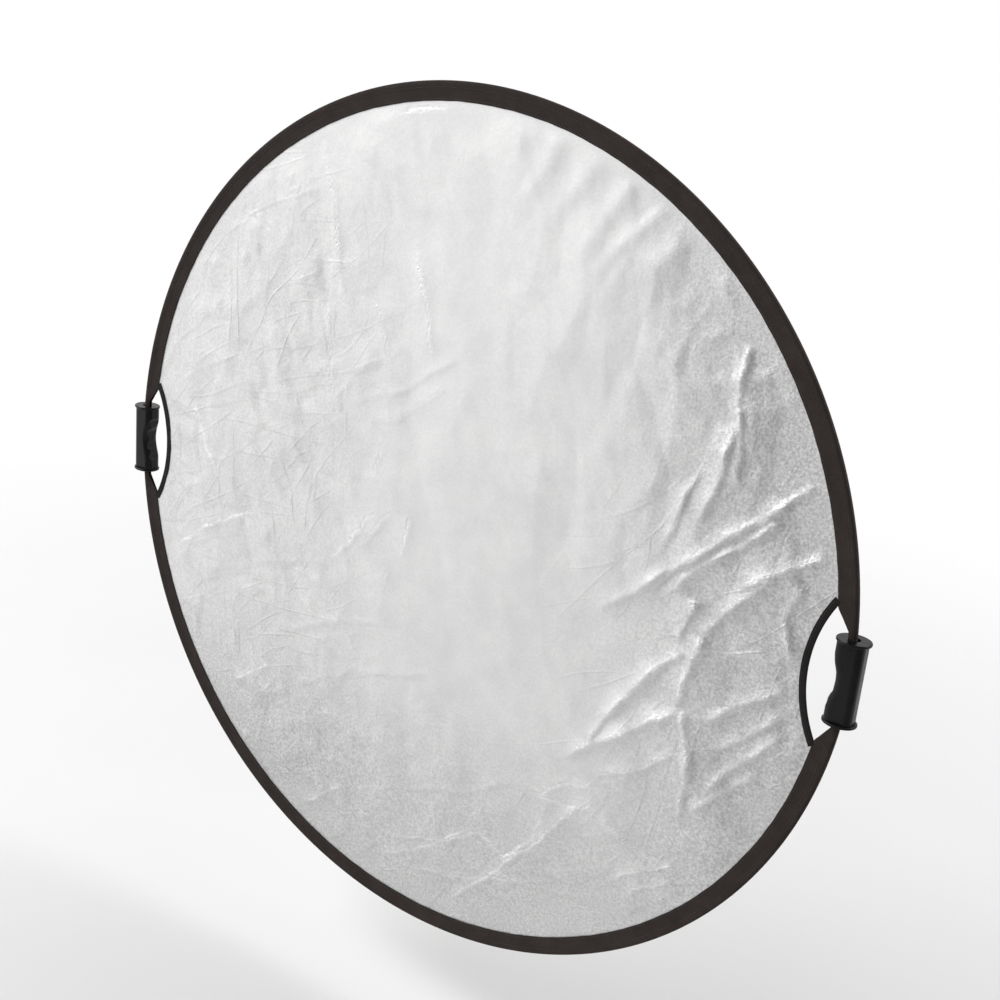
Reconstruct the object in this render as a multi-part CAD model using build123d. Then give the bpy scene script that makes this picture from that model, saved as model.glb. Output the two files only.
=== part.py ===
from build123d import *

import math
import os

# Collapsible reflector disc with two turning hand grips.
# Units are millimetres. The disc stands upright in the XZ plane with its centre at the origin.
# The silver front faces -Y, +Z is up, and the grips sit on the hoop at +X and -X.

# Disc, hoop and cloth
RIM_RADIUS = 600.0
STRIP_RADIUS = 596.0
STRIP_THICKNESS = 1.5
STRIP_WIDTH = 6.0
STRIP_SLACK = 0.2
BEAD_RADIUS = RIM_RADIUS - STRIP_RADIUS
BINDING_WIDTH = 25.0
BINDING_FLAP_THICKNESS = 4.0
PANEL_THICKNESS = 0.8
PANEL_SEAM_DEPTH = 10.0

# Necks of the binding, where it narrows and enters a grip
NECK_RADIUS = 595.0
NECK_WIDTH = 10.0
NECK_DEPTH = 7.8
NECK_CORNER = 3.6
NECK_TAIL_Z = 46.0
SHOULDER_END_Z = 60.0
SHOULDER_START_Z = 85.0

# Lens-shaped hand cut-outs and their tape
CUTOUT_EDGE_X = 547.0
TAPE_WIDTH = 9.0
TAPE_THICKNESS = 3.6
TAPE_FOLD = 1.5

# Ferrule: joins the strip ends and is the axle of a grip
FERRULE_X = 594.5
FERRULE_RADIUS = 5.0
FERRULE_LENGTH = 84.0
FERRULE_BORE_RADIUS = 3.5
STRIP_INSERT = 20.0
CRIMP_DEPTH = 0.5
CRIMP_WIDTH = 2.0
CRIMP_Z = (24.0, 27.5)

# Grip, measured from the turning axis; "inner" is the finger side, towards the disc's centre
GRIP_LENGTH = 105.0
FLANGE_THICKNESS = 3.5
FLANGE_HALF_WIDTH = 21.0
FLANGE_HALF_DEPTH = 18.0
FLANGE_ROUNDING = 1.2
PALM_OFFSET = 17.0
HALF_DEPTH = 13.0
WAIST_OFFSET = 11.6
SHOULDER_OFFSET = 18.0
SHOULDER_Z = 36.0
LONG_EDGE_FILLET = 9.0
FINGER_GROOVE_Z = (8.75, 26.25)
FINGER_GROOVE_RADIUS = 12.0
FINGER_GROOVE_DEPTH = 1.6
WALL = 2.5
SEAM_DEPTH = 0.4
SEAM_HALF_WIDTH = 0.25

# Inside of the grip
RUNNING_CLEARANCE = 0.08
BEARING_START_Z = 30.0
CORE_POCKET_Z = (33.5, 38.5)
AXIAL_PLAY = 0.5
STOP_WEB_END_Z = 45.0
STOP_HOLE_RADIUS = 4.0
ENTRY_HOLE_RADIUS = 7.25

# Screws that hold the two half shells together, as (offset from the axis, height)
SCREW_PLACES = ((-12.2, 36.0), (-12.2, -36.0), (9.8, 20.0), (9.8, -20.0))
SCREW_RADIUS = 1.5
SCREW_HEAD_RADIUS = 2.8
SCREW_HEAD_HEIGHT = 2.2
SCREW_SEAT_Y = 8.0
SCREW_TIP_Y = -8.0
SCREW_CLEARANCE_RADIUS = 1.7
COUNTERBORE_RADIUS = 3.1
BOSS_RADIUS = 4.3
RECESS_LENGTH = 3.2
RECESS_WIDTH = 0.8
RECESS_DEPTH = 1.2

BIG = 2000.0


def ring(section):
    """Full ring about the disc's axis, from a section drawn with radius along X and depth along Y."""
    return revolve(section, axis=Axis.Y, revolution_arc=360)


def depth_cylinder(x, z, radius, y_low, y_high):
    """Cylinder along Y."""
    plane = Plane(origin=(x, y_low, z), x_dir=(1, 0, 0), z_dir=(0, 1, 0))
    return extrude(plane * Circle(radius), amount=y_high - y_low)


def height_cylinder(radius, z_low, z_high):
    """Cylinder along Z about the local axis."""
    return extrude(Plane.XY.offset(z_low) * Circle(radius), amount=z_high - z_low)


def span_box(x_low, x_high, y_low, y_high, z_low, z_high):
    """Box between two corners."""
    middle = ((x_low + x_high) / 2, (y_low + y_high) / 2, (z_low + z_high) / 2)
    return Pos(*middle) * Box(x_high - x_low, y_high - y_low, z_high - z_low)


def above(z):
    """Everything higher than z, as a large box."""
    return span_box(-BIG, BIG, -BIG, BIG, z, BIG)


def lower_half(shape):
    """The same shape below the disc's centre."""
    return mirror(shape, about=Plane.XY)


def cutout_arc():
    """Radius of a hand cut-out's edge, and the distance of its centre from the disc's centre."""
    junction_x = math.sqrt((RIM_RADIUS - BINDING_WIDTH) ** 2 - SHOULDER_START_Z**2)
    rise = junction_x - CUTOUT_EDGE_X
    radius = (SHOULDER_START_Z**2 + rise**2) / (2 * rise)
    return radius, CUTOUT_EDGE_X + radius


def strip_ring(slack=0.0):
    """The whole ring of spring strip, or the tunnel that holds it."""
    section = Rectangle(STRIP_THICKNESS + 2 * slack, STRIP_WIDTH + 2 * slack)
    return ring(Pos(STRIP_RADIUS, 0) * section)


def hoop_strip_upper():
    """Half of the flat spring-steel hoop, with its ends inside the two ferrules."""
    return strip_ring() & above(STRIP_INSERT)


def ferrule():
    """Straight steel tube, swaged on the strip ends at the middle of the right grip."""
    half = FERRULE_LENGTH / 2
    tube = height_cylinder(FERRULE_RADIUS, -half, half)
    tube -= height_cylinder(FERRULE_BORE_RADIUS, -STRIP_INSERT, STRIP_INSERT)
    for z in CRIMP_Z:
        collar = height_cylinder(FERRULE_RADIUS + 1, z, z + CRIMP_WIDTH)
        collar -= height_cylinder(FERRULE_RADIUS - CRIMP_DEPTH, z, z + CRIMP_WIDTH)
        tube -= collar
        tube -= lower_half(collar)
    return Pos(FERRULE_X, 0, 0) * tube - strip_ring()


def panel(y_low, y_high):
    """One round cloth sheet with the two hand cut-outs."""
    outer = RIM_RADIUS - BINDING_WIDTH + PANEL_SEAM_DEPTH
    radius, centre_x = cutout_arc()
    sheet = depth_cylinder(0, 0, outer, y_low, y_high)
    for side in (1, -1):
        sheet -= depth_cylinder(side * centre_x, 0, radius + TAPE_FOLD, y_low, y_high)
    return sheet


def binding_section():
    """Tape folded over the hoop: a round bead, then a flat flap with the panels sewn into it."""
    inner = RIM_RADIUS - BINDING_WIDTH
    bead = Pos(STRIP_RADIUS, 0) * Circle(BEAD_RADIUS)
    flap = Pos((inner + STRIP_RADIUS) / 2, 0) * Rectangle(STRIP_RADIUS - inner, BINDING_FLAP_THICKNESS)
    seam = Pos(inner + PANEL_SEAM_DEPTH / 2, 0) * Rectangle(PANEL_SEAM_DEPTH, 2 * PANEL_THICKNESS)
    return bead + flap - seam


def shoulder_cutter():
    """Prism that cuts the right end of the upper binding down to its neck, on a slant."""
    inner = RIM_RADIUS - BINDING_WIDTH
    neck_inner = NECK_RADIUS - NECK_WIDTH / 2
    start_x = math.sqrt(inner**2 - SHOULDER_START_Z**2)
    end_x = math.sqrt(neck_inner**2 - SHOULDER_END_Z**2)
    run_x = end_x - start_x
    run_z = SHOULDER_START_Z - SHOULDER_END_Z
    past = 0.4
    outline = Polyline(
        (end_x - 3 * run_x, -1),
        (RIM_RADIUS + 10, -1),
        (RIM_RADIUS + 10, SHOULDER_END_Z - 2),
        (end_x, SHOULDER_END_Z),
        (start_x - past * run_x, SHOULDER_START_Z + past * run_z),
        (end_x - 3 * run_x, SHOULDER_START_Z + past * run_z),
        close=True,
    )
    return extrude(Plane.XZ * make_face(outline), amount=20, both=True)


def rim_binding_upper():
    """Upper length of the rim tape, with a narrow neck at each end that runs into a grip."""
    cutter = shoulder_cutter()
    tape = ring(binding_section()) & above(0)
    tape = tape - cutter - mirror(cutter, about=Plane.YZ)
    neck_section = Pos(NECK_RADIUS, 0) * RectangleRounded(NECK_WIDTH, NECK_DEPTH, NECK_CORNER)
    neck = ring(neck_section) & span_box(-BIG, BIG, -20, 20, NECK_TAIL_Z, SHOULDER_END_Z + 4)
    return tape + neck - strip_ring(STRIP_SLACK)


def cutout_tape():
    """Narrow tape folded over the panels' edge round the right hand cut-out."""
    radius, centre_x = cutout_arc()
    half = TAPE_THICKNESS / 2
    tape = depth_cylinder(centre_x, 0, radius + TAPE_WIDTH, -half, half)
    tape -= depth_cylinder(centre_x, 0, radius, -half, half)
    tape &= depth_cylinder(0, 0, RIM_RADIUS - BINDING_WIDTH, -half, half)
    return tape - panel(-PANEL_THICKNESS, PANEL_THICKNESS)


def inner_side(waist, shoulder):
    """Finger side of the grip's outline, lowest point first, and its height function."""
    radius = (SHOULDER_Z**2 + (shoulder - waist) ** 2) / (4 * (shoulder - waist))
    half_z = SHOULDER_Z / 2

    def offset(z):
        """Distance of the finger side from the axis at height z."""
        z = abs(z)
        if z < half_z:
            return waist + radius - math.sqrt(radius**2 - z**2)
        if z < SHOULDER_Z:
            return shoulder - radius + math.sqrt(radius**2 - (z - SHOULDER_Z) ** 2)
        return shoulder

    heights = (-SHOULDER_Z, -1.5 * half_z, -half_z, 0, half_z, 1.5 * half_z, SHOULDER_Z)
    points = [(-offset(z), z) for z in heights]
    arcs = [ThreePointArc(*points[i : i + 3]) for i in (0, 2, 4)]
    return arcs, offset


def grip_form(inset=0.0):
    """Outer form of a grip about its own axis, or the same form a little smaller all round."""
    end = GRIP_LENGTH / 2 - FLANGE_THICKNESS
    palm = PALM_OFFSET - inset
    shoulder = SHOULDER_OFFSET - inset
    arcs, offset = inner_side(WAIST_OFFSET - inset, shoulder)
    frame = Polyline((-shoulder, SHOULDER_Z), (-shoulder, end), (palm, end), (palm, -end),
                     (-shoulder, -end), (-shoulder, -SHOULDER_Z))
    outline = make_face(Wire([*arcs, *frame.edges()]))
    body = extrude(Plane.XZ * outline, amount=HALF_DEPTH - inset, both=True)
    faces = body.faces().sort_by(Axis.Y)
    long_edges = [
        edge
        for face in (faces[0], faces[-1])
        for edge in face.edges()
        if abs(edge.center().Z) < end - 0.5
    ]
    body = fillet(long_edges, LONG_EDGE_FILLET - inset)
    flange_plane = Plane.XY.offset(end)
    flange = extrude(
        flange_plane * Ellipse(FLANGE_HALF_WIDTH - inset, FLANGE_HALF_DEPTH - inset),
        amount=FLANGE_THICKNESS - inset,
    )
    flange = fillet(flange.edges(), FLANGE_ROUNDING)
    body = body + flange + lower_half(flange)
    if inset == 0:
        for z in FINGER_GROOVE_Z:
            x = -offset(z) - FINGER_GROOVE_RADIUS + FINGER_GROOVE_DEPTH
            groove = depth_cylinder(x, z, FINGER_GROOVE_RADIUS, -HALF_DEPTH, HALF_DEPTH)
            body -= groove
            body -= lower_half(groove)
    return body


def core(z_low, z_high):
    """Rounded hollow between two heights, one wall thickness inside the grip's form."""
    x_low = WALL + FINGER_GROOVE_DEPTH - WAIST_OFFSET
    x_high = PALM_OFFSET - WALL
    half_y = HALF_DEPTH - WALL
    section = Pos((x_low + x_high) / 2, 0) * RectangleRounded(
        x_high - x_low, 2 * half_y, LONG_EDGE_FILLET - 2
    )
    return extrude(Plane.XY.offset(z_low) * section, amount=z_high - z_low)


def grip_solid():
    """Grip with its hollow, bearing bores, stop webs and entry holes, before it is split."""
    seam = grip_form() - grip_form(SEAM_DEPTH)
    seam &= span_box(-BIG, BIG, -SEAM_HALF_WIDTH, SEAM_HALF_WIDTH, -BIG, BIG)
    body = grip_form() - seam - core(-BEARING_START_Z, BEARING_START_Z)
    stop = FERRULE_LENGTH / 2 + AXIAL_PLAY
    end = GRIP_LENGTH / 2
    cuts = (
        core(*CORE_POCKET_Z),
        height_cylinder(FERRULE_RADIUS + RUNNING_CLEARANCE, BEARING_START_Z, stop),
        height_cylinder(STOP_HOLE_RADIUS, stop, STOP_WEB_END_Z),
        height_cylinder(ENTRY_HOLE_RADIUS, STOP_WEB_END_Z, end),
    )
    for cut in cuts:
        body -= cut
        body -= lower_half(cut)
    inside = core(-BEARING_START_Z, BEARING_START_Z)
    for x, z in SCREW_PLACES:
        body += depth_cylinder(x, z, BOSS_RADIUS, -HALF_DEPTH, HALF_DEPTH) & inside
    return body


def grip_front_shell(body):
    """Front half of a grip, with blind pilot holes that the screws cut their thread in."""
    shell = body & span_box(-BIG, BIG, -BIG, 0, -BIG, BIG)
    for x, z in SCREW_PLACES:
        shell -= depth_cylinder(x, z, SCREW_RADIUS, SCREW_TIP_Y - 1, 0)
    return shell


def grip_back_shell(body):
    """Back half of a grip, with counterbored clearance holes for the screws."""
    shell = body & span_box(-BIG, BIG, 0, BIG, -BIG, BIG)
    for x, z in SCREW_PLACES:
        shell -= depth_cylinder(x, z, SCREW_CLEARANCE_RADIUS, 0, SCREW_SEAT_Y)
        shell -= depth_cylinder(x, z, COUNTERBORE_RADIUS, SCREW_SEAT_Y, HALF_DEPTH + 1)
    return shell


def screw(x, z):
    """Pan-head screw with a cross recess, its head towards +Y."""
    top = SCREW_SEAT_Y + SCREW_HEAD_HEIGHT
    shank = depth_cylinder(x, z, SCREW_RADIUS, SCREW_TIP_Y, SCREW_SEAT_Y)
    head = depth_cylinder(x, z, SCREW_HEAD_RADIUS, SCREW_SEAT_Y, top)
    head = fillet(head.faces().sort_by(Axis.Y)[-1].edges(), 0.8)
    long = RECESS_LENGTH / 2
    wide = RECESS_WIDTH / 2
    for half_x, half_z in ((long, wide), (wide, long)):
        head -= span_box(x - half_x, x + half_x, top - RECESS_DEPTH, top + 1, z - half_z, z + half_z)
    return shank + head


def grip_nodes():
    """The nodes of one grip about its own axis, by what they are called."""
    body = grip_solid()
    return {
        "front_shell": grip_front_shell(body),
        "back_shell": grip_back_shell(body),
        "screws": Compound(children=[screw(x, z) for x, z in SCREW_PLACES]),
    }


def build():
    """Every node of the reflector in its place."""
    half_turn = Rot(0, 180, 0)
    nodes = {
        "hoop_strip_upper": hoop_strip_upper(),
        "ferrule_right": ferrule(),
        "silver_panel": panel(-PANEL_THICKNESS, 0),
        "white_panel": panel(0, PANEL_THICKNESS),
        "rim_binding_upper": rim_binding_upper(),
        "cutout_tape_right": cutout_tape(),
    }
    nodes["hoop_strip_lower"] = lower_half(nodes["hoop_strip_upper"])
    nodes["rim_binding_lower"] = lower_half(nodes["rim_binding_upper"])
    nodes["ferrule_left"] = half_turn * nodes["ferrule_right"]
    nodes["cutout_tape_left"] = half_turn * nodes["cutout_tape_right"]
    for name, shape in grip_nodes().items():
        right = Pos(FERRULE_X, 0, 0) * shape
        nodes[f"grip_right_{name}"] = right
        nodes[f"grip_left_{name}"] = half_turn * right
    return nodes


os.makedirs("parts", exist_ok=True)
for node_name, node_shape in build().items():
    export_step(node_shape, f"parts/{node_name}.step")
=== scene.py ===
import math

import bpy
import numpy as np
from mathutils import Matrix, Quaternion, Vector


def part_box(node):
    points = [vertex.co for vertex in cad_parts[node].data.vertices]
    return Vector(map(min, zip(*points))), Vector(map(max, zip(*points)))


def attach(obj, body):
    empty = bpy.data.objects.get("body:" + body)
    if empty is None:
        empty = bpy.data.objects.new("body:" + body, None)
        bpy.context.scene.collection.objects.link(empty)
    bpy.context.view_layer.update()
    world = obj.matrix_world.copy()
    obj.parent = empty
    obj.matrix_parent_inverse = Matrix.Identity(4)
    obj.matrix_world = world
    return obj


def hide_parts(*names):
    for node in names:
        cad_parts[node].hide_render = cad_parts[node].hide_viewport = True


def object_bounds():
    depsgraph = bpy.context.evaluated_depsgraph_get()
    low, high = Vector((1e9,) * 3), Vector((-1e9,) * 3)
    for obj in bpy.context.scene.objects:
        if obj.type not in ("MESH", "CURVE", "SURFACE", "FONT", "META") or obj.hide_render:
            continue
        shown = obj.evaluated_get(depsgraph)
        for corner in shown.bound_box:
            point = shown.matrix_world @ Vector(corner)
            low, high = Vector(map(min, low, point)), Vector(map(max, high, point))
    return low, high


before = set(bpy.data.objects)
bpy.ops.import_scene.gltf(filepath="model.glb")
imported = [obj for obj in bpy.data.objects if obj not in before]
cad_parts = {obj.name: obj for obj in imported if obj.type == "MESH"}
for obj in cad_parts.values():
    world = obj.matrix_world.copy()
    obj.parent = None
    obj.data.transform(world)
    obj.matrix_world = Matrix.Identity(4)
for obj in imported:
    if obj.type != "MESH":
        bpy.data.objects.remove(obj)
cad_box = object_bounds()

# ---------------------------------------------------------------------------
# Places and sizes, in metres
# ---------------------------------------------------------------------------
# Read from the frame
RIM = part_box("rim_binding_upper")[1].z
NECK_TAIL_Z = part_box("rim_binding_upper")[0].z
TAPE_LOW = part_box("cutout_tape_right")[0]

# Rim tape
BAND_WIDTH = 0.025
BAND_INNER = RIM - BAND_WIDTH
NECK_WIDTH = 0.010
SHOULDER_LOW_Z, SHOULDER_HIGH_Z = 0.060, 0.085
BEAD_HALF = 0.0038
FLAP_HALF = 0.0013
BAND_STEP = 0.005

# Hand cut-outs: one arc through the tape's deepest point and the shoulders
TAPE_WIDTH = 0.009
CUT_EDGE_X = TAPE_LOW.x + TAPE_WIDTH
JUNCTION_X = math.sqrt(BAND_INNER**2 - SHOULDER_HIGH_Z**2)
CUT_RISE = JUNCTION_X - CUT_EDGE_X
CUT_RADIUS = (SHOULDER_HIGH_Z**2 + CUT_RISE**2) / (2 * CUT_RISE)
CUT_CENTRE_X = CUT_EDGE_X + CUT_RADIUS
TAPE_STATIONS = 110
TAPE_PAST_SHOULDER = 0.035  # radians

# Stitches
STITCH_PITCH = 0.0036
STITCH_LENGTH = STITCH_PITCH * 0.78
STITCH_RADIUS = 0.00032
STITCH_SIDES = 6
STITCH_MARGIN = 0.0025  # least tape between a row of stitches and the tape's inner edge
# Along one stitch, as (place from -0.5 to 0.5, share of its radius)
STITCH_RINGS = ((-0.5, 0.25), (-0.34, 0.9), (0.0, 1.0), (0.34, 0.9), (0.5, 0.25))
# Rows on a rim tape, as (distance inside the rim, depth, radians past the tape's tail)
RIM_STITCH_ROWS = ((BAND_WIDTH - 0.0026, 0.0015, 0.100), (0.0086, 0.0032, 0.065))
CUTOUT_STITCH_INSET = 0.0064
CUTOUT_STITCH_DEPTH = 0.00155

# Cloth: a round panel sewn into the tape, less the two cut-outs
CLOTH_UNDER_TAPE = 0.003
CLOTH_GAP = 0.008
SILVER_CELLS = 312
WHITE_CELLS = 250
SILVER_SEED = 100
WHITE_SEED = 400
# How high each panel's cloth lifts, by kind: (named folds, facets, pleats under the rim)
SILVER_RELIEF = (2.35, 1.6, 1.2)
WHITE_RELIEF = (1.4, 2.2, 1.5)

# Camera, about the disc's centre and in units of the rim's radius
AIM = (0.158, 0.0, 0.137)
AZIMUTH, ELEVATION, ROLL = math.radians(34.4), math.radians(18.6), math.radians(5.5)
DISTANCE = 3.056
LENS = 50.4

FLOOR_DROP = 0.16
FLOOR_HALF = 3.1

# Lights, as (name, place, point lit, size, power in watts)
LIGHTS = (
    ("key", (-1.7, -2.2, 3.2), (0, 0, 0.1), (1.0, 1.0), 16),
    ("rake", (-2.6, -1.2, 2.3), (0, 0, 0.2), (1.4, 1.4), 70),
    ("back", (2.2, 1.2, 2.2), (0, 0, 0.1), (1.0, 1.0), 30),
)


# ---------------------------------------------------------------------------
# Mesh helpers
# ---------------------------------------------------------------------------
def mesh_object(name, points, faces, material, smooth=True):
    """A new mesh object from points and faces."""
    mesh = bpy.data.meshes.new(name)
    mesh.from_pydata([tuple(p) for p in points], [], [tuple(f) for f in faces])
    mesh.materials.append(material)
    mesh.polygons.foreach_set("use_smooth", [smooth] * len(mesh.polygons))
    mesh.update()
    piece = bpy.data.objects.new(name, mesh)
    bpy.context.scene.collection.objects.link(piece)
    return piece


def strip_faces(rows, columns, closed=False):
    """Quads between rows of points; closed joins the last column to the first."""
    last = columns if closed else columns - 1
    faces = []
    for i in range(rows - 1):
        for j in range(last):
            k = (j + 1) % columns
            faces.append((i * columns + j, i * columns + k, (i + 1) * columns + k, (i + 1) * columns + j))
    return faces


def smoothstep(low, high, value):
    """0 below low, 1 above high, and a smooth rise between."""
    t = np.clip((value - low) / (high - low), 0.0, 1.0)
    return t * t * (3 - 2 * t)


def store(mesh, name, values):
    """Keeps one number per point on the mesh, for its material."""
    attribute = mesh.attributes.new(name, "FLOAT", "POINT")
    attribute.data.foreach_set("value", np.asarray(values, np.float32))


# ---------------------------------------------------------------------------
# Materials
# ---------------------------------------------------------------------------
class Nodes:
    """Short names for building one node material."""

    def __init__(self, name):
        self.material = bpy.data.materials.new(name)
        self.material.use_nodes = True
        self.tree = self.material.node_tree
        self.shader = self.tree.nodes["Principled BSDF"]
        self.place = self.new("ShaderNodeTexCoord").outputs["Object"]

    def new(self, kind, **settings):
        node = self.tree.nodes.new(kind)
        for key, value in settings.items():
            setattr(node, key, value)
        return node

    def link(self, output, socket):
        self.tree.links.new(output, socket)

    def noise(self, scale, detail=2.0, roughness=0.5, stretch=None):
        """Noise texture; stretch is the scale along each axis."""
        node = self.new("ShaderNodeTexNoise")
        node.inputs["Scale"].default_value = scale
        node.inputs["Detail"].default_value = detail
        node.inputs["Roughness"].default_value = roughness
        place = self.place
        if stretch is not None:
            mapping = self.new("ShaderNodeMapping")
            mapping.inputs["Scale"].default_value = stretch
            self.link(place, mapping.inputs["Vector"])
            place = mapping.outputs["Vector"]
        self.link(place, node.inputs["Vector"])
        return node.outputs["Fac"]

    def wrinkles(self, size, stretch, turn, width, place):
        """Thin wandering crease lines, long in the direction of the turn: 1 on a line, 0 off it."""
        mapping = self.new("ShaderNodeMapping", vector_type="TEXTURE")
        mapping.inputs["Location"].default_value = place
        mapping.inputs["Rotation"].default_value = (0.0, turn, 0.0)
        mapping.inputs["Scale"].default_value = (size * stretch, size, size)
        self.link(self.place, mapping.inputs["Vector"])
        noise = self.new("ShaderNodeTexNoise")
        noise.inputs["Scale"].default_value = 1.0
        noise.inputs["Detail"].default_value = 1.5
        noise.inputs["Roughness"].default_value = 0.35
        self.link(mapping.outputs["Vector"], noise.inputs["Vector"])
        away = self.math("ABSOLUTE", self.math("SUBTRACT", noise.outputs["Fac"], 0.5), 0.0)
        return self.ramp(away, 0.0, width, 1.0, 0.0)

    def wave(self, scale, direction, distortion=0.0):
        node = self.new("ShaderNodeTexWave", wave_type="BANDS", bands_direction=direction)
        node.inputs["Scale"].default_value = scale
        node.inputs["Distortion"].default_value = distortion
        self.link(self.place, node.inputs["Vector"])
        return node.outputs["Fac"]

    def ramp(self, value, low, high, out_low=0.0, out_high=1.0, smooth=True):
        """Maps low..high to out_low..out_high, held at the ends."""
        node = self.new("ShaderNodeMapRange", clamp=True)
        node.interpolation_type = "SMOOTHSTEP" if smooth else "LINEAR"
        node.inputs["From Min"].default_value = low
        node.inputs["From Max"].default_value = high
        node.inputs["To Min"].default_value = out_low
        node.inputs["To Max"].default_value = out_high
        self.link(value, node.inputs["Value"])
        return node.outputs["Result"]

    def math(self, operation, a, b):
        node = self.new("ShaderNodeMath", operation=operation)
        for socket, value in zip(node.inputs, (a, b)):
            if isinstance(value, (int, float)):
                socket.default_value = value
            else:
                self.link(value, socket)
        return node.outputs["Value"]

    def mix(self, factor, a, b):
        """Colour between a and b by factor."""
        node = self.new("ShaderNodeMix", data_type="RGBA")
        self.link(factor, node.inputs["Factor"])
        for key, value in (("A", a), ("B", b)):
            socket = [s for s in node.inputs if s.name == key and s.type == "RGBA"][0]
            if isinstance(value, tuple):
                socket.default_value = (*value, 1.0)
            else:
                self.link(value, socket)
        return [s for s in node.outputs if s.type == "RGBA"][0]

    def attribute(self, name):
        node = self.new("ShaderNodeAttribute", attribute_type="GEOMETRY", attribute_name=name)
        return node.outputs["Fac"]

    def bump(self, height, distance, strength, under=None):
        """Normal of a fine relief, on top of another normal if one is given."""
        node = self.new("ShaderNodeBump")
        node.inputs["Strength"].default_value = strength
        node.inputs["Distance"].default_value = distance
        self.link(height, node.inputs["Height"])
        if under is not None:
            self.link(under, node.inputs["Normal"])
        return node.outputs["Normal"]

    def set(self, **values):
        """Shader sockets by name, with underscores for spaces."""
        for key, value in values.items():
            socket = self.shader.inputs[key.replace("_", " ")]
            if isinstance(value, (int, float)):
                socket.default_value = value
            elif isinstance(value, tuple):
                socket.default_value = (*value, 1.0)
            else:
                self.link(value, socket)


# Lines in the cloth too thin for its mesh, as (size, stretch, turn, width, place)
STORAGE_LINES = (
    (0.050, 6.0, -0.45, 0.030, (0.3, 0.1, 0.7)),
    (0.045, 6.0, -0.10, 0.030, (1.3, 2.1, 0.2)),
    (0.050, 7.0, 1.45, 0.030, (2.3, 1.1, 1.7)),
    (0.040, 5.0, -0.90, 0.030, (3.1, 0.6, 2.2)),
)
PULL_LINES = (
    (0.050, 6.0, -0.80, 0.026, (4.3, 1.9, 0.4)),
    (0.045, 6.0, -0.35, 0.026, (5.2, 0.2, 1.1)),
    (0.050, 5.0, -1.25, 0.026, (6.7, 1.2, 2.5)),
)


def crease_lines(n, layers, where):
    """Several sets of thin crease lines, each broken up in patches, in one part of the cloth."""
    total = None
    for number, layer in enumerate(layers):
        patches = n.ramp(n.noise(6.0 + 1.7 * number, 2.0), 0.42, 0.60)
        lines = n.math("MULTIPLY", n.wrinkles(*layer), patches)
        total = lines if total is None else n.math("MAXIMUM", total, lines)
    return n.math("MULTIPLY", total, n.attribute(where))


def silver_material():
    """Metallised cloth: mottled grainy silver, thin crease lines darkened with painted shade, and crests
    brightened with painted highlights and glints.
    """
    n = Nodes("silver_cloth")
    cloud = n.noise(16.0, 4.0, 0.6)
    grain = n.noise(260.0, 4.0, 0.75)
    base = n.mix(n.ramp(cloud, 0.3, 0.7), (0.765, 0.765, 0.765), (0.83, 0.83, 0.825))
    grainy = n.attribute("grainy")
    grey = n.math("MULTIPLY", n.ramp(grain, 0.32, 0.68, 0.0, 0.8), grainy)
    base = n.mix(grey, base, (0.51, 0.51, 0.51))
    storage_region_lines = crease_lines(n, STORAGE_LINES, "storage_creased")
    pulls = crease_lines(n, PULL_LINES, "pulled")
    lines = n.math("MAXIMUM", storage_region_lines, pulls)
    # Painted shade: the base colour is darkened along the thin crease lines. Their relief comes from the
    # bump further down.
    base = n.mix(n.math("MULTIPLY", lines, 0.12), base, (0.40, 0.40, 0.40))
    crest = n.attribute("crest")
    # Painted highlights: a broad band along each crest is brightened towards near-white, and white flecks
    # along it are painted glints.
    flecks = n.ramp(n.noise(250.0, 2.0, 0.5), 0.44, 0.54)
    glint = n.math("MULTIPLY", n.ramp(crest, 0.30, 0.85), flecks)
    painted_crest_highlight = n.math("MULTIPLY", n.ramp(crest, 0.0, 0.9, smooth=False), 0.8)
    colour = n.mix(painted_crest_highlight, base, (0.90, 0.90, 0.90))
    colour = n.mix(glint, colour, (1.0, 1.0, 1.0))
    roughness = n.ramp(glint, 0.0, 1.0, 0.42, 0.28)
    weave = n.math("MULTIPLY", n.wave(330.0, "X"), n.wave(330.0, "Z"))
    normal = n.bump(weave, 0.00012, 0.3)
    normal = n.bump(n.math("MULTIPLY", grain, grainy), 0.0016, 0.55, normal)
    normal = n.bump(lines, 0.0009, 0.45, normal)
    normal = n.bump(n.math("MULTIPLY", crest, n.noise(240.0, 3.0)), 0.0030, 0.9, normal)
    n.set(Base_Color=colour, Metallic=0.70, Roughness=roughness, Normal=normal)
    return n.material


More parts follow.
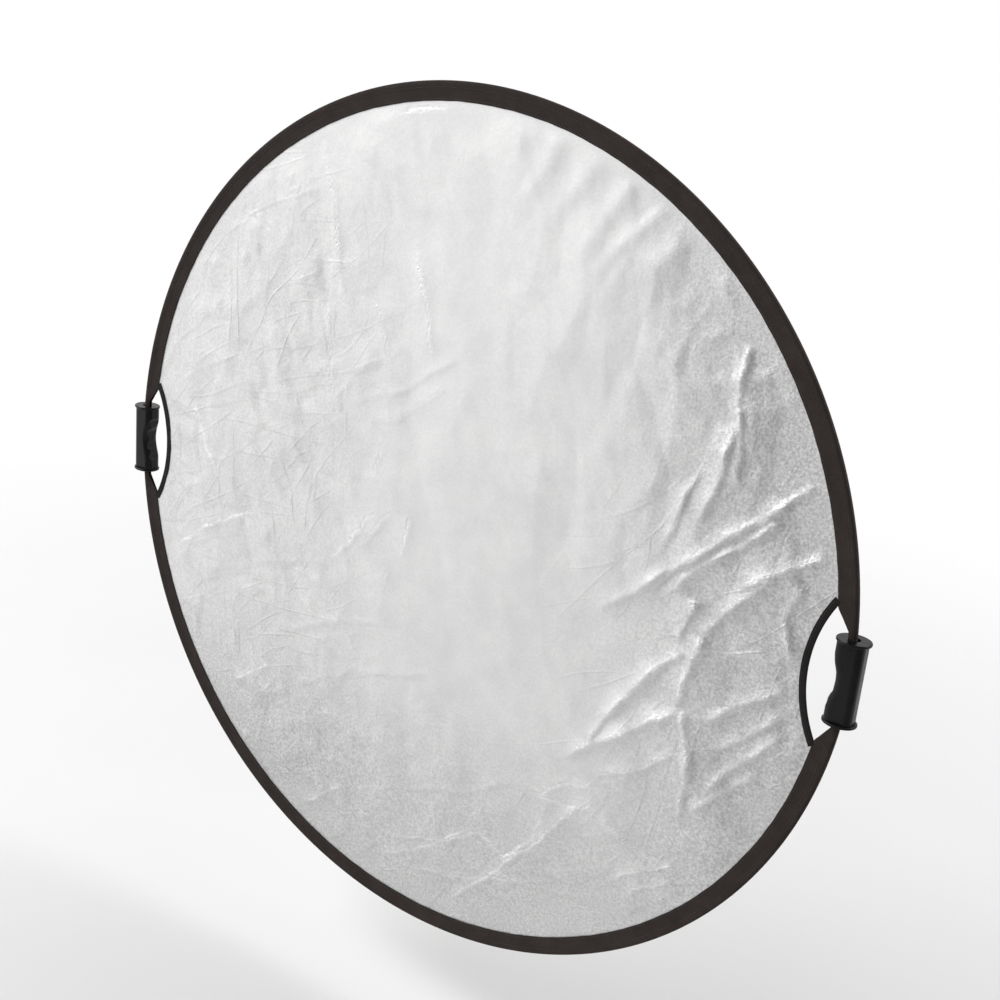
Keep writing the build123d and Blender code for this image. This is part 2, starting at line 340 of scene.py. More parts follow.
def white_material():
    """Matte white woven cloth, with painted shade along its fold crests and thin crease lines."""
    n = Nodes("white_cloth")
    mottle = n.noise(6.0, 3.0, 0.55)
    fibre = n.noise(420.0, 3.0, 0.7)
    weave = n.math("MULTIPLY", n.wave(300.0, "X"), n.wave(300.0, "Z"))
    colour = n.mix(n.ramp(mottle, 0.3, 0.7), (0.72, 0.72, 0.70), (0.80, 0.80, 0.785))
    colour = n.mix(n.ramp(weave, 0.0, 0.5, 0.35, 0.0), colour, (0.60, 0.60, 0.59))
    colour = n.mix(n.ramp(fibre, 0.35, 0.65, 0.0, 0.25), colour, (0.62, 0.62, 0.61))
    # Painted shade: the colour is greyed along the fold crests.
    colour = n.mix(n.math("MULTIPLY", n.attribute("crest"), 0.45), colour, (0.50, 0.50, 0.49))
    storage_region_lines = crease_lines(n, PULL_LINES, "storage_creased")
    pulls = crease_lines(n, STORAGE_LINES, "pulled")
    lines = n.math("MAXIMUM", storage_region_lines, pulls)
    # Painted shade: the colour is greyed along the thin crease lines.
    colour = n.mix(n.math("MULTIPLY", lines, 0.20), colour, (0.48, 0.48, 0.47))
    normal = n.bump(weave, 0.0002, 0.4)
    normal = n.bump(fibre, 0.0004, 0.4, normal)
    normal = n.bump(lines, 0.0010, 0.5, normal)
    n.set(Base_Color=colour, Roughness=n.ramp(mottle, 0.2, 0.8, 0.78, 0.9), Normal=normal)
    n.set(Sheen_Weight=0.15, Sheen_Roughness=0.5)
    return n.material


def tape_material(name, dark, light):
    """Matte woven tape: charcoal, with a fine rib, lint and a soft sheen."""
    n = Nodes(name)
    fibre = n.noise(900.0, 2.0, 0.6)
    wear = n.noise(26.0, 4.0, 0.6)
    lint = n.ramp(n.noise(240.0, 3.0, 0.7), 0.66, 0.78)
    colour = n.mix(n.ramp(wear, 0.3, 0.72), dark, light)
    colour = n.mix(n.ramp(fibre, 0.3, 0.7, 0.0, 0.45), colour, tuple(c * 1.7 for c in light))
    colour = n.mix(n.math("MULTIPLY", lint, 0.10), colour, (0.12, 0.11, 0.105))
    weave = n.math("MULTIPLY", n.wave(420.0, "DIAGONAL"), n.wave(420.0, "Z"))
    normal = n.bump(weave, 0.0003, 0.5)
    normal = n.bump(fibre, 0.0003, 0.5, normal)
    n.set(Base_Color=colour, Roughness=n.ramp(fibre, 0.2, 0.8, 0.72, 0.92), Normal=normal)
    n.set(Specular_IOR_Level=0.16, Sheen_Weight=0.05, Sheen_Roughness=0.45)
    n.set(Sheen_Tint=(0.72, 0.66, 0.64))
    return n.material


def thread_material():
    """Twisted black polyester thread."""
    n = Nodes("thread")
    twist = n.wave(900.0, "DIAGONAL", 2.0)
    colour = n.mix(twist, (0.020, 0.018, 0.018), (0.060, 0.055, 0.053))
    normal = n.bump(twist, 0.0002, 0.6)
    n.set(Base_Color=colour, Roughness=n.ramp(twist, 0.0, 1.0, 0.45, 0.65), Normal=normal)
    return n.material


def grip_material():
    """Satin black moulded plastic, spark-eroded, with palm polish and fine scuffs."""
    n = Nodes("grip_plastic")
    grain = n.noise(1500.0, 3.0, 0.6)
    handling = n.noise(38.0, 4.0, 0.55)
    scuff = n.ramp(n.noise(90.0, 5.0, 0.75, stretch=(1.0, 1.0, 6.0)), 0.62, 0.74)
    colour = n.mix(n.ramp(handling, 0.3, 0.7), (0.004, 0.004, 0.0042), (0.008, 0.0078, 0.008))
    colour = n.mix(n.math("MULTIPLY", scuff, 0.25), colour, (0.045, 0.044, 0.043))
    roughness = n.math("ADD", n.ramp(handling, 0.25, 0.75, 0.24, 0.36), n.math("MULTIPLY", scuff, 0.18))
    normal = n.bump(grain, 0.00018, 0.35)
    n.set(Base_Color=colour, Roughness=roughness, Normal=normal, Specular_IOR_Level=0.14)
    n.set(Coat_Weight=0.10, Coat_Roughness=0.12)
    return n.material


def steel_material(name, dark, light, roughness):
    """Drawn steel with lengthwise scratches."""
    n = Nodes(name)
    drawn = n.noise(700.0, 3.0, 0.6, stretch=(1.0, 1.0, 0.08))
    tarnish = n.noise(60.0, 3.0, 0.6)
    colour = n.mix(n.ramp(tarnish, 0.3, 0.7), dark, light)
    n.set(Base_Color=colour, Roughness=n.ramp(drawn, 0.2, 0.8, roughness, roughness + 0.2))
    n.set(Normal=n.bump(drawn, 0.0001, 0.3), Metallic=1.0)
    return n.material


def floor_material():
    """Pale matt floor that fades out into the white surroundings."""
    n = Nodes("pale_floor")
    colour = n.mix(n.noise(3.0, 3.0), (0.70, 0.70, 0.70), (0.73, 0.73, 0.73))
    away = n.new("ShaderNodeVectorMath", operation="LENGTH")
    n.link(n.place, away.inputs[0])
    alpha = n.ramp(away.outputs["Value"], 0.4, 3.0, 1.0, 0.0)
    n.set(Base_Color=colour, Roughness=0.9, Specular_IOR_Level=0.1, Alpha=alpha)
    return n.material


# ---------------------------------------------------------------------------
# Creases and folds of the two cloth panels
# ---------------------------------------------------------------------------
def crease(x, z, path, height, seed):
    """Height of one fold along a path, steep on its left, and how near each point is to its crest.

    Low folds are narrow and sharp, high ones wide.
    """
    random = np.random.default_rng(seed)
    turns = random.uniform(0, 2 * math.pi, 3)
    knots = np.array(path, float) / 100
    lengths = np.hypot(*np.diff(knots, axis=0).T)
    total, passed = lengths.sum(), 0.0
    best = np.full_like(x, 9.0)
    s, t = np.zeros_like(x), np.zeros_like(x)
    for start, end, length in zip(knots, knots[1:], lengths):
        along = (end - start) / length
        reach = np.clip((x - start[0]) * along[0] + (z - start[1]) * along[1], 0, length)
        dx, dz = x - start[0] - reach * along[0], z - start[1] - reach * along[1]
        away = np.hypot(dx, dz)
        near = away < best
        best = np.where(near, away, best)
        s = np.where(near, (passed + reach) / total, s)
        t = np.where(near, np.where(along[0] * dz - along[1] * dx > 0, away, -away), t)
        passed += length
    t = t + 0.0016 * np.sin(total * 60 * s + turns[0]) + 0.0008 * np.sin(total * 190 * s + turns[1])
    strength = smoothstep(0.0, 0.12, s) * (1 - smoothstep(0.7, 1.0, s))
    strength = strength * (0.8 + 0.2 * np.sin(total * 90 * s + turns[2]))
    side = np.where(t > 0, np.exp(-t / (0.0012 + 0.85 * height)), np.exp(t / (0.003 + 2.1 * height)))
    crest = np.exp(-((np.abs(t + 0.3 * height) / (0.0020 + 0.60 * height)) ** 1.6)) * strength
    return height * side * strength, crest


# Folds a viewer would name, as (path in centimetres on the disc, height in mm, glint).
# A path runs from the right or the top, so that its steep side faces down and to the right.
NAMED_CREASES = (
    # long folds from the right rim down to the left
    (((54, 23), (40, 10), (24, -4)), 3.4, 0.45),
    (((50, 17), (42, 10), (34, 2)), 2.6, 0.25),
    (((56, 14), (50, 11), (43, 5)), 3.2, 0.9),
    (((50, 11), (45, 5), (40, -2)), 3.2, 0.8),
    (((40, 4), (38, -3)), 2.6, 1.0),
    (((40, -2), (33, -10), (25, -24)), 3.6, 0.9),
    (((42, 0), (40, -6), (39, -12)), 3.8, 1.0),
    (((41, -10), (32, -17), (22, -25)), 3.6, 1.0),
    (((40, -10), (42, -16), (42, -28)), 3.0, 0.8),
    # folds pulled towards the right hand cut-out
    (((53, -3), (48, -7), (42, -12)), 2.8, 0.7),
    (((54, -6), (49, -11), (44, -15)), 2.4, 0.6),
    (((54, -9), (49, -14), (43, -23)), 2.8, 0.7),
    (((52, -15), (47, -19), (41, -27)), 2.2, 0.6),
    (((53, 10), (51, 5), (53, -1)), 2.2, 0.8),
    (((52, 0), (44, -2)), 1.2, 0.4),
    # fan below the upper right rim
    (((42, 28), (41, 20), (38, 12)), 3.0, 0.6),
    (((42, 29), (43, 18)), 2.4, 0.6),
    (((38, 20), (36, 14), (34, 8)), 2.0, 0.1),
    (((54, 22), (48, 21), (42, 20)), 1.2, 0.3),
    (((42, 36), (41, 26)), 2.2, 0.6),
    # storage creases in the upper left, nearly upright
    (((-25, 51), (-22, 42), (-20, 32)), 1.8, 0.6),
    (((-22, 35), (-22, 24), (-19, 13)), 1.8, 0.6),
    (((-8, 40), (-5, 32), (-2, 20)), 2.4, 0.7),
    (((-14, 31), (-11, 25), (-10, 16)), 1.8, 0.5),
    (((-38, 41), (-35, 30)), 1.4, 0.2),
    (((-40, 27), (-42, 12)), 1.4, 0.3),
    (((-48, 9), (-45, 2), (-42, -2)), 2.8, 0.9),
    (((-32, 25), (-30, 10)), 1.4, 0.2),
    (((2, 26), (-8, 19), (-18, 15)), 1.8, 0.0),
    (((0, 22), (-8, 15), (-14, 14)), 1.8, 0.3),
    (((-8, 25), (-16, 20), (-22, 13)), 1.4, 0.0),
    (((-4, 57), (-12, 55)), 2.4, 0.7),
    # middle of the disc
    (((-10, 12), (-13, 4)), 1.8, 0.5),
    (((-11, 1), (-15, -4), (-20, -10)), 3.0, 0.9),
    (((-8, 2), (-12, -3), (-16, -7)), 2.2, 0.6),
    (((-5, 2), (-6, -5)), 2.6, 0.9),
    (((-8, -7), (-10, -14)), 1.8, 0.6),
    # left rim
    (((-33, -5), (-42, -9), (-55, -18)), 2.8, 0.9),
    (((-42, -11), (-49, -15), (-55, -21)), 2.0, 0.5),
    (((-30, -29), (-39, -36)), 2.4, 0.9),
    (((-8, -15), (-20, -19), (-34, -27)), 1.6, 0.0),
    (((-18, -9), (-30, -12), (-42, -18)), 1.4, 0.0),
    (((2, -20), (-14, -25), (-30, -34)), 1.4, 0.0),
    # bottom: thin bright lines that cross
    (((29, -27), (22, -37), (12, -49), (4, -57)), 1.8, 1.0),
    (((29, -26), (24, -28), (19, -32)), 1.3, 1.0),
    (((30, -29), (24, -31), (19, -31)), 1.0, 0.8),
    (((28, -25), (29, -29), (27, -31)), 1.0, 0.8),
    (((41, -16), (35, -21), (28, -25)), 1.8, 0.9),
    (((22, -31), (21, -36), (20, -39)), 1.0, 0.7),
    (((13, -40), (5, -45), (-7, -49)), 1.2, 0.8),
    (((10, -41), (0, -49), (-8, -53)), 1.0, 0.8),
    (((20, -38), (16, -43), (10, -40)), 1.4, 1.0),
    (((24, -43), (10, -49), (-4, -53)), 1.0, 0.6),
    (((-14, -44), (-23, -51)), 1.6, 0.8),
    (((42, -32), (32, -39)), 1.4, 1.0),
    (((42, -35), (35, -39)), 1.2, 0.9),
    (((48, -37), (38, -38)), 1.2, 0.9),
    (((41, -36), (40, -40)), 1.0, 0.8),
    (((30, -30), (42, -35), (50, -41)), 0.9, 0.6),
    (((18, -30), (8, -36), (-4, -40)), 1.4, 0.1),
)

# Facet networks of the creased cloth: (facet size, stretch, turn, slope, glint)
CRUMPLE_SETS = (
    (0.150, 1.4, 0.25, 0.030, 0.15),
    (0.080, 1.3, 0.35, 0.045, 0.20),
    (0.042, 1.2, 0.90, 0.050, 0.20),
    (0.022, 1.1, 0.10, 0.050, 0.0),
)

# Soft folds that hang from the rim at the upper right, by angle on the disc in degrees
RIM_FOLD_ANGLES = (76, 70, 64.5, 59.5, 54, 48.5, 42, 35.5)


def crumple(x, z, seed, size, stretch, turn):
    """Flat facets with crisp ridges and valleys, in units of a facet's size, and the ridge lines.

    The difference of two squared nearest-seed distances is flat on every facet, so its folds
    fall on the borders between seeds: ridges for one set of seeds, valleys for the other.
    """
    random = np.random.default_rng(seed)
    u = (x * math.cos(turn) + z * math.sin(turn)) * stretch / size
    v = (-x * math.sin(turn) + z * math.cos(turn)) / stretch / size
    u = u + 0.3 * np.sin(v * 0.9 + seed) + 0.15 * np.sin(v * 2.3 + 2 * seed)
    v = v + 0.3 * np.sin(u * 0.8 + 3 * seed)
    column, row = np.floor(u).astype(int), np.floor(v).astype(int)
    around = 3 + max(abs(column).max(), abs(row).max())
    nearest, ridge = [], None
    for _ in range(2):
        jitter = random.uniform(0, 1, (2 * around, 2 * around, 2))
        first, second = np.full_like(x, 9.0), np.full_like(x, 9.0)
        for i in (-2, -1, 0, 1, 2):
            for j in (-2, -1, 0, 1, 2):
                seed_place = jitter[column + i + around, row + j + around]
                du = column + i + seed_place[:, 0] - u
                dv = row + j + seed_place[:, 1] - v
                far = du * du + dv * dv
                second = np.minimum(second, np.maximum(first, far))
                first = np.minimum(first, far)
        nearest.append(first)
        if ridge is None:
            ridge = (np.sqrt(second) - np.sqrt(first)) * size
    return nearest[1] - nearest[0], ridge


def soft_billow(x, z, seed, count, size, height):
    """Low, wide swells of loose cloth."""
    random = np.random.default_rng(seed)
    total = np.zeros_like(x)
    for _ in range(count):
        cx, cz = random.uniform(-0.56, 0.56, 2)
        wide, long = random.uniform(*size), random.uniform(*size) * 1.6
        turn = random.uniform(0, math.pi)
        u = (x - cx) * math.cos(turn) + (z - cz) * math.sin(turn)
        v = -(x - cx) * math.sin(turn) + (z - cz) * math.cos(turn)
        total += random.uniform(-1, 1) * height * np.exp(-((u / wide) ** 2) - (v / long) ** 2)
    return total


def rim_folds(x, z):
    """Rounded pleats that the slack cloth makes below the rim at the upper right."""
    radius, angle = np.hypot(x, z), np.degrees(np.arctan2(z, x))
    total = np.zeros_like(x)
    for number, place in enumerate(RIM_FOLD_ANGLES):
        lean = place + (BAND_INNER - radius) * (26 + 9 * math.sin(2.1 * number))
        across = (angle - lean) / (1.5 + 0.35 * math.sin(1.7 * number))
        reach = smoothstep(BAND_INNER - 0.13 - 0.03 * math.sin(number), BAND_INNER - 0.045, radius)
        total += 0.0013 * np.exp(-(across**2)) * reach * (1 if number % 2 else 0.75)
    return total


def cloth_height(x, z, seed, relief):
    """Height of a panel towards its own viewer, with the maps its material needs.

    The maps are the crests, which get painted highlights and glints on the silver and painted shade on the
    white; how grainy the cloth has become; where storage has creased it; and where it is pulled. The last
    two place thin crease lines that carry painted shade.
    Relief is how high the cloth lifts, by kind: (named folds, facets, pleats under the rim).
    """
    right = smoothstep(0.20, 0.50, x)
    left = smoothstep(0.0, 0.30, -x) * (1 - smoothstep(0.30, 0.55, z))
    low = smoothstep(0.18, 0.45, -z)
    folded = 0.35 + 1.0 * np.maximum(right, 0.4 * low)
    grainy = 0.25 + 1.1 * np.maximum(right, 0.7 * low) + 0.35 * left
    height = np.zeros_like(x)
    crest = np.zeros_like(x)
    folds, facets, pleats = relief
    for number, (path, high, shine) in enumerate(NAMED_CREASES):
        rise, line = crease(x, z, path, high / 1000, seed + number)
        height = np.maximum(height, rise)
        crest = np.maximum(crest, line * shine)
    height = height * folds * (0.35 + 0.85 * np.maximum(smoothstep(0.10, 0.35, x), 0.5 * low))
    patch = soft_billow(x, z, seed + 5, 40, (0.08, 0.2), 1.0)
    for number, (size, stretch, turn, slope, shine) in enumerate(CRUMPLE_SETS):
        fold, ridge = crumple(x, z, seed + 20 + number, size, stretch, turn)
        amount = smoothstep(-0.7, 0.7, patch * (1 if number % 2 else -1)) * 0.8 + 0.2
        amount = amount * (folded if size > 0.06 else 0.5 * folded + 0.7 * left + 0.5 * low)
        height += facets * slope * size * fold * amount
        lines = np.exp(-((ridge / 0.004) ** 2)) * smoothstep(0.1, 0.9, patch) * np.maximum(left, low)
        crest = np.maximum(crest, shine * lines)
    height += soft_billow(x, z, seed + 7, 60, (0.03, 0.10), 0.0016) * folded
    height += pleats * rim_folds(x, z)
    pulled = smoothstep(0.10, 0.40, x) * (1 - smoothstep(0.05, 0.35, z)) + 0.8 * low
    storage_creased = 0.6 * left + smoothstep(0.0, 0.25, -x) * 0.25 + smoothstep(0.1, 0.4, -x) * 0.15
    return height, {"crest": crest, "grainy": grainy, "storage_creased": storage_creased, "pulled": np.minimum(pulled, 1)}


# ---------------------------------------------------------------------------
# Cloth panels
# ---------------------------------------------------------------------------
def cloth_edge(angle):
    """Distance from the centre to the cloth's edge at an angle, hand cut-outs included."""
    edge = np.full_like(angle, BAND_INNER + CLOTH_UNDER_TAPE)
    cut = CUT_RADIUS + CLOTH_UNDER_TAPE
    sine, cosine = np.sin(angle), np.abs(np.cos(angle))
    inside = cut**2 - (CUT_CENTRE_X * sine) ** 2
    hit = CUT_CENTRE_X * cosine - np.sqrt(np.maximum(inside, 0))
    return np.where(inside > 0, np.minimum(edge, hit), edge)


def panel_grid(cells):
    """A square grid stretched over the cloth's outline: x, z, and the share of the way out."""
    side = np.linspace(-1, 1, cells + 1)
    u, v = np.meshgrid(side, side, indexing="ij")
    x = (u * np.sqrt(1 - v * v / 2)).ravel()
    z = (v * np.sqrt(1 - u * u / 2)).ravel()
    share, angle = np.hypot(x, z), np.arctan2(z, x)
    full = BAND_INNER + CLOTH_UNDER_TAPE
    radius = share * (full + (cloth_edge(angle) - full) * share**8)
    return radius * np.cos(angle), radius * np.sin(angle), share


def cloth_panel(name, cells, front, material, seed, relief):
    """One cloth sheet, its edge tucked between the tape's two sides.

    Both sheets follow the same billow, and the hollows of each stop short of the other sheet.
    """
    x, z, share = panel_grid(cells)
    billow = soft_billow(x, z, 3, 26, (0.10, 0.22), 0.0040)
    height, maps = cloth_height(x, z, seed, relief)
    slack = 1 - smoothstep(0.78, 0.995, share)
    gap = CLOTH_GAP / 2 * slack + 0.0002
    loose = 1 - smoothstep(0.955, 0.997, share)
    height = np.maximum(height, -0.85 * gap * np.tanh(-height / (0.85 * gap)))
    side = -1.0 if front else 1.0
    y = billow * slack + side * (gap + height * loose)
    points = np.column_stack((x, y, z))
    order = 1 if front else -1
    faces = [face[::order] for face in strip_faces(cells + 1, cells + 1)]
    piece = mesh_object(name, points, faces, material)
    for map_name, values in maps.items():
        store(piece.data, map_name, values)
    return piece


# ---------------------------------------------------------------------------
# Rim tape
# ---------------------------------------------------------------------------
def band_profile(width, neck):
    """Folded tape in section, as (distance inside the rim, depth), from hem to hem."""
    thin = FLAP_HALF + neck * 0.0016
    near = 0.0055 + 0.35 * (width - NECK_WIDTH)
    half = [
        (width - 0.0030 * (1 - 0.5 * neck), thin - 0.0008),
        (width - 0.0006, thin - 0.0007),
        (width, thin - 0.00035),
        (width - 0.0005, thin),
        (width - 0.0022, thin + 0.0002),
        (near, thin + 0.55 * (BEAD_HALF - thin) + 0.0004 * neck),
        (0.0052, BEAD_HALF - 0.0001),
        (0.0030, BEAD_HALF),
        (0.0013, BEAD_HALF - 0.0003),
        (0.0003, BEAD_HALF - 0.0011),
        (0.0, BEAD_HALF - 0.0024),
    ]
    front = [(inside, -depth) for inside, depth in half]
    back = [(inside, depth) for inside, depth in reversed(half)]
    return np.array(front + back)


def smooth_profile(profile, cuts=3):
    """More points along a section, on a Catmull-Rom curve through it."""
    padded = np.vstack((2 * profile[0] - profile[1], profile, 2 * profile[-1] - profile[-2]))
    points = []
    for p0, p1, p2, p3 in zip(padded, padded[1:], padded[2:], padded[3:]):
        for cut in range(cuts):
            t = cut / cuts
            points.append(
                0.5 * (2 * p1 + (p2 - p0) * t + (2 * p0 - 5 * p1 + 4 * p2 - p3) * t**2
                       + (3 * p1 - p0 - 3 * p2 + p3) * t**3)
            )
    points.append(profile[-1])
    return np.array(points)


def band_width_at(angle):
    """Width of the tape at an angle on the disc: neck, slanting shoulder, then full band."""
    low_x = math.sqrt((RIM - NECK_WIDTH) ** 2 - SHOULDER_LOW_Z**2)
    angle = min(angle, math.pi - angle)
    if angle <= math.atan2(SHOULDER_LOW_Z, low_x):
        return NECK_WIDTH
    if angle >= math.atan2(SHOULDER_HIGH_Z, JUNCTION_X):
        return BAND_WIDTH
    run_x, run_z = JUNCTION_X - low_x, SHOULDER_HIGH_Z - SHOULDER_LOW_Z
    slant = math.cos(angle) * run_z - math.sin(angle) * run_x
    radius = (low_x * run_z - SHOULDER_LOW_Z * run_x) / slant
    return min(max(RIM - radius, NECK_WIDTH), BAND_WIDTH)


def band_angles():
    """Stations along the upper tape, from the tail in the right grip to the one in the left."""
    first = math.asin(NECK_TAIL_Z / (RIM - NECK_WIDTH / 2))
    count = int((math.pi - 2 * first) * RIM / BAND_STEP)
    return np.linspace(first, math.pi - first, count)


def ripple(distance, seed):
    """Small unevenness of a sewn tape along its length, from -1 to 1."""
    random = np.random.default_rng(seed)
    total = np.zeros_like(distance)
    for length in (0.31, 0.17, 0.083, 0.047, 0.029):
        total += np.sin(2 * math.pi * distance / length + random.uniform(0, 6.28)) / 5
    return total


def rim_binding(name, upper, material):
    """One length of rim tape, folded over the hoop, with a neck at each end."""
    angles = band_angles()
    edge, lift = ripple(angles * RIM, 11 + upper), ripple(angles * RIM, 31 + upper)
    rows = []
    for angle, shift, rise in zip(angles, edge, lift):
        width = band_width_at(angle)
        neck = 1 - (width - NECK_WIDTH) / (BAND_WIDTH - NECK_WIDTH)
        profile = smooth_profile(band_profile(width, neck))
        flap = smoothstep(0.008, BAND_WIDTH, profile[:, 0])
        inside = profile[:, 0] + 0.0005 * shift * flap
        depth = profile[:, 1] + 0.0004 * rise * flap
        radius = RIM - inside
        sign = 1 if upper else -1
        rows.append(np.column_stack((radius * math.cos(angle), depth, sign * radius * math.sin(angle))))
    count = len(rows[0])
    faces = strip_faces(len(rows), count)
    if not upper:
        faces = [face[::-1] for face in faces]
    return mesh_object(name, np.vstack(rows), faces, material)


# ---------------------------------------------------------------------------
# Hand cut-out tape
# ---------------------------------------------------------------------------
def cutout_tape(name, side, material):
    """Narrow tape folded over the cloth's edge round one hand cut-out."""
    reach = math.asin(SHOULDER_HIGH_Z / CUT_RADIUS) + TAPE_PAST_SHOULDER
    angles = np.linspace(-reach, reach, TAPE_STATIONS)
    half = [(0.0045, 0.0006), (0.0086, 0.0006), (0.0090, 0.0010), (0.0086, 0.0014), (0.0062, 0.0015),
            (0.0030, 0.0017), (0.0010, 0.0017), (0.0002, 0.0010), (0.0, 0.0)]
    front = [(outward, -depth) for outward, depth in half]
    back = list(reversed(half[:-1]))
    profile = smooth_profile(np.array(front + back), 2)
    wave = ripple(angles * CUT_RADIUS, 71 + side)
    rows = []
    for angle, shift in zip(angles, wave):
        outward = profile[:, 0] * (1 + 0.05 * shift)
        radius = CUT_RADIUS + outward
        x = CUT_CENTRE_X - radius * math.cos(angle)
        z = radius * math.sin(angle)
        rows.append(np.column_stack((side * x, profile[:, 1] + 0.0002 * shift, z)))
    faces = strip_faces(len(rows), len(profile))
    if side > 0:
        faces = [face[::-1] for face in faces]
    return mesh_object(name, np.vstack(rows), faces, material)


# ---------------------------------------------------------------------------
# Stitches
# ---------------------------------------------------------------------------
def stitch_rows(stations, depth):
    """Points and faces of stitches on both faces of a tape, each a thin pillow sunk in the cloth.

    A station is where a stitch sits and which way it runs: (x, z, along x, along z).
    """
    points, faces = [], []
    for face_side in (-1, 1):
        out = np.array((0.0, face_side, 0.0))
        for x, z, along_x, along_z in stations:
            centre = np.array((x, face_side * depth, z))
            along = np.array((along_x, 0.0, along_z))
            across = np.cross(along, out)
            first = len(points)
            for place, wide in STITCH_RINGS:
                sink = -0.9 * STITCH_RADIUS * (2 * place) ** 4
                for k in range(STITCH_SIDES):
                    turn = 2 * math.pi * k / STITCH_SIDES
                    offset = wide * STITCH_RADIUS * (math.cos(turn) * out + math.sin(turn) * across)
                    points.append(centre + place * STITCH_LENGTH * along + sink * out + offset)
            for face in strip_faces(len(STITCH_RINGS), STITCH_SIDES, closed=True):
                faces.append(tuple(first + i for i in face))
            faces.append(tuple(first + k for k in reversed(range(STITCH_SIDES))))
            last = first + (len(STITCH_RINGS) - 1) * STITCH_SIDES
            faces.append(tuple(last + k for k in range(STITCH_SIDES)))
    return points, faces


def rim_stitching(name, upper, material):
    """Two rows of stitches on each side of a rim tape: at its inner edge and beside the hoop."""
    sign = 1 if upper else -1
    tail = math.asin(NECK_TAIL_Z / (RIM - NECK_WIDTH / 2))
    points, faces = [], []
    for inside, depth, past_tail in RIM_STITCH_ROWS:
        radius, low = RIM - inside, tail + past_tail
        count = int((math.pi - 2 * low) * radius / STITCH_PITCH)
        stations = []
        for angle in np.linspace(low, math.pi - low, count):
            if band_width_at(angle) < inside + STITCH_MARGIN:
                continue
            cosine, sine = math.cos(angle), math.sin(angle)
            stations.append((radius * cosine, sign * radius * sine, -sine, sign * cosine))
        more_points, more_faces = stitch_rows(stations, depth)
        faces += [tuple(len(points) + i for i in face) for face in more_faces]
        points += more_points
    return mesh_object(name, points, faces, material)


def cutout_stitching(name, side, material):
    """One row of stitches on each face of a cut-out tape."""
    radius = CUT_RADIUS + CUTOUT_STITCH_INSET
    reach = math.asin(SHOULDER_HIGH_Z / CUT_RADIUS)
    count = int(2 * reach * radius / STITCH_PITCH)
    stations = []
    for angle in np.linspace(-reach, reach, count):
        cosine, sine = math.cos(angle), math.sin(angle)
        stations.append((side * (CUT_CENTRE_X - radius * cosine), radius * sine, side * sine, cosine))
    points, faces = stitch_rows(stations, CUTOUT_STITCH_DEPTH)
    return mesh_object(name, points, faces, material)


# ---------------------------------------------------------------------------
# Stage: floor, light and camera
# ---------------------------------------------------------------------------
def area_light(name, place, target, size, power):
    """Soft white rectangular light turned towards a point."""
    data = bpy.data.lights.new(name, "AREA")
    data.shape = "RECTANGLE"
    data.size, data.size_y = size
    data.energy = power
    light = bpy.data.objects.new(name, data)
    light.location = place
    light.rotation_mode = "QUATERNION"
    light.rotation_quaternion = (Vector(target) - Vector(place)).to_track_quat("-Z", "Y")
    bpy.context.scene.collection.objects.link(light)


def make_world():
    """Pale surroundings: white behind the disc; in front brighter at the left than at the right."""
    world = bpy.data.worlds.new("studio")
    bpy.context.scene.world = world
    world.use_nodes = True
    tree = world.node_tree
    place = tree.nodes.new("ShaderNodeTexCoord")
    axes = tree.nodes.new("ShaderNodeSeparateXYZ")
    tree.links.new(place.outputs["Generated"], axes.inputs["Vector"])

    def ramp(axis, low, high, out_low, out_high):
        node = tree.nodes.new("ShaderNodeMapRange")
        node.interpolation_type = "SMOOTHSTEP"
        node.inputs["From Min"].default_value = low
        node.inputs["From Max"].default_value = high
        node.inputs["To Min"].default_value = out_low
        node.inputs["To Max"].default_value = out_high
        tree.links.new(axes.outputs[axis], node.inputs["Value"])
        return node.outputs["Result"]

    blend = tree.nodes.new("ShaderNodeMix")
    tree.links.new(ramp("Y", -0.15, 0.35, 0.0, 1.0), blend.inputs["Factor"])
    tree.links.new(ramp("X", -0.62, 0.02, 1.16, 0.32), blend.inputs["A"])
    blend.inputs["B"].default_value = 1.0
    background = tree.nodes["Background"]
    background.inputs["Color"].default_value = (1.0, 1.0, 1.0, 1.0)
    tree.links.new(blend.outputs["Result"], background.inputs["Strength"])


def make_floor():
    """Square floor some way below the disc."""
    corners = [(x * FLOOR_HALF, y * FLOOR_HALF, 0) for x, y in ((-1, -1), (1, -1), (1, 1), (-1, 1))]
    floor = mesh_object("floor", corners, [(0, 1, 2, 3)], floor_material(), smooth=False)
    floor.location.z = cad_box[0].z - FLOOR_DROP


def make_camera():
    """Camera in front of the disc, to its right and a little above its centre."""
    aim = RIM * Vector(AIM)
    back = Vector((math.sin(AZIMUTH) * math.cos(ELEVATION), -math.cos(AZIMUTH) * math.cos(ELEVATION),
                   math.sin(ELEVATION)))
    data = bpy.data.cameras.new("camera")
    data.lens = LENS
    camera = bpy.data.objects.new("camera", data)
    camera.location = aim + back * DISTANCE * RIM
    camera.rotation_mode = "QUATERNION"
    camera.rotation_quaternion = (-back).to_track_quat("-Z", "Y") @ Quaternion((0, 0, 1), ROLL)
    bpy.context.scene.collection.objects.link(camera)
    bpy.context.scene.camera = camera


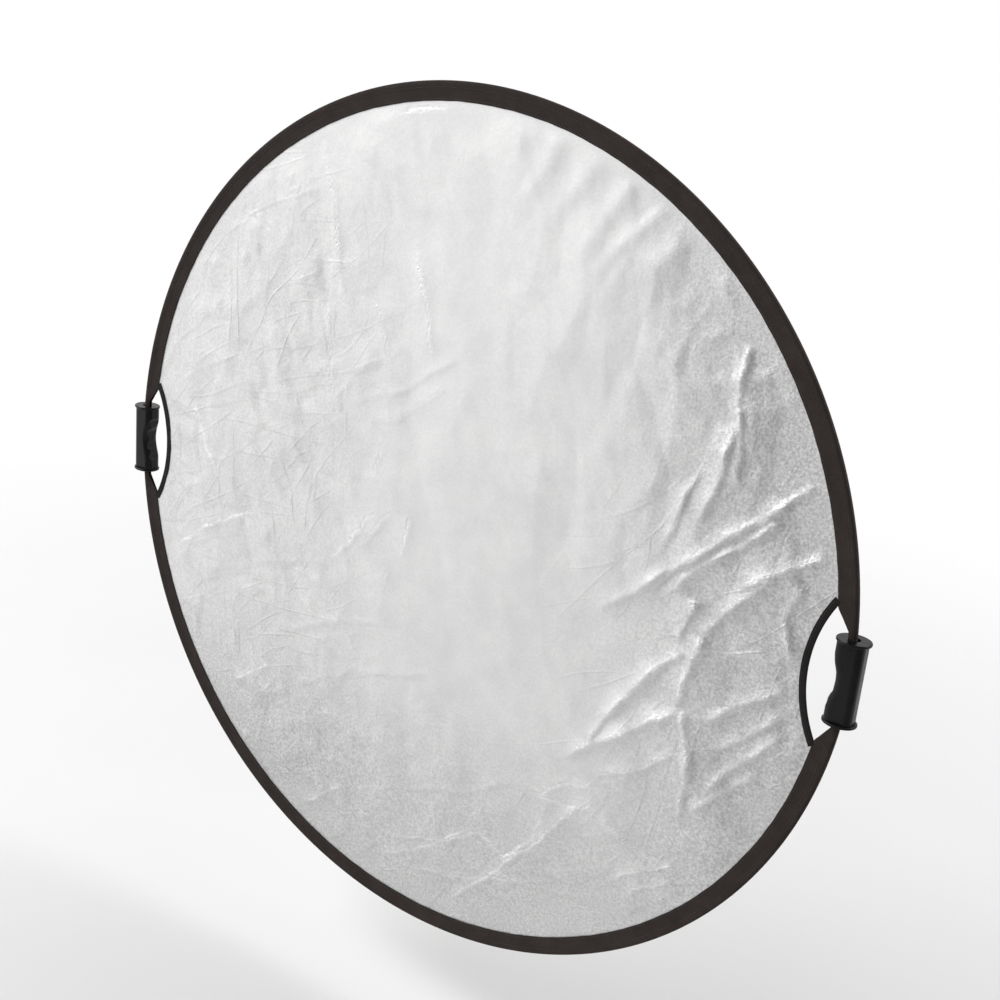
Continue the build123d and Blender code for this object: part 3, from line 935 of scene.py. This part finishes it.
# ---------------------------------------------------------------------------
# The reflector
# ---------------------------------------------------------------------------
def make_panels():
    """The silver front panel and the white back panel."""
    for name, node, cells, front, material, seed, relief in (
        ("silver_cloth", "silver_panel", SILVER_CELLS, True, silver_material(), SILVER_SEED, SILVER_RELIEF),
        ("white_cloth", "white_panel", WHITE_CELLS, False, white_material(), WHITE_SEED, WHITE_RELIEF),
    ):
        piece = cloth_panel(name, cells, front, material, seed, relief)
        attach(piece, "disc")
        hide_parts(node)


def make_rim():
    """The two lengths of rim tape, with their stitches."""
    rim_tape = tape_material("rim_tape", (0.019, 0.0142, 0.0130), (0.033, 0.0250, 0.0225))
    thread = thread_material()
    for word, upper in (("upper", True), ("lower", False)):
        tape = rim_binding(f"rim_tape_{word}", upper, rim_tape)
        stitches = rim_stitching(f"rim_stitches_{word}", upper, thread)
        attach(tape, "disc")
        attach(stitches, "disc")
        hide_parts(f"rim_binding_{word}")


def make_cutouts():
    """The tapes round the two hand cut-outs, with their stitches."""
    tape_cloth = tape_material("cutout_tape", (0.009, 0.0075, 0.0072), (0.016, 0.0135, 0.0130))
    thread = thread_material()
    for word, side in (("left", -1), ("right", 1)):
        tape = cutout_tape(f"hand_tape_{word}", side, tape_cloth)
        stitches = cutout_stitching(f"hand_tape_stitches_{word}", side, thread)
        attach(tape, "disc")
        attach(stitches, "disc")
        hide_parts(f"cutout_tape_{word}")


def finish_nodes():
    """Node materials for the CAD pieces that stay in view or inside."""
    grip = grip_material()
    spring = steel_material("spring_steel", (0.20, 0.21, 0.24), (0.34, 0.35, 0.38), 0.28)
    screws = steel_material("screw_steel", (0.03, 0.03, 0.032), (0.06, 0.06, 0.065), 0.35)
    for name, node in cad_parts.items():
        if name.endswith("shell"):
            material = grip
        elif name.endswith("screws"):
            material = screws
        else:
            material = spring
        node.data.materials.clear()
        node.data.materials.append(material)


make_camera()
make_world()
make_floor()
for light in LIGHTS:
    area_light(*light)
make_panels()
make_rim()
make_cutouts()
finish_nodes()
bpy.context.scene.view_settings.view_transform = "Standard"
